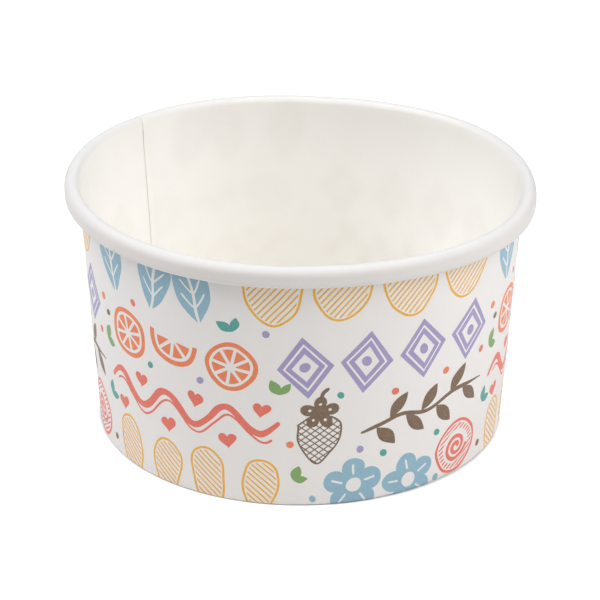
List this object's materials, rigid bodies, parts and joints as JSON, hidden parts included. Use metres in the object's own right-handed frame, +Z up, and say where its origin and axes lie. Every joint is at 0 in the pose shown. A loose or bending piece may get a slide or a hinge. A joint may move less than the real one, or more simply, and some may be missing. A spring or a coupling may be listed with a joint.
{
  "type": "paper dessert cup",
  "caption": "Squat round paper cup for ice cream or dessert, with a tapered wall, a curled rim and a recessed bottom disc inside a folded foot.",
  "frame": {"origin": "centre of the foot, on the surface that the cup stands on", "axes": "+Z up along the cup's axis, towards the open rim; the picture looks along +Y; the side seam is at the back left. The lapped seam makes one side a little heavier, so +Z is claimed by the rim and the shortest extent, and not as an axis of symmetry"},
  "size_m": [0.092, 0.092, 0.0505],
  "materials": {
    "coated_paper": null,
    "disc_paper": "satin coated white paper"
  },
  "bodies": {
    "root": {"side_wall": "coated_paper", "bottom_disc": "disc_paper"}
  },
  "joints": []
}
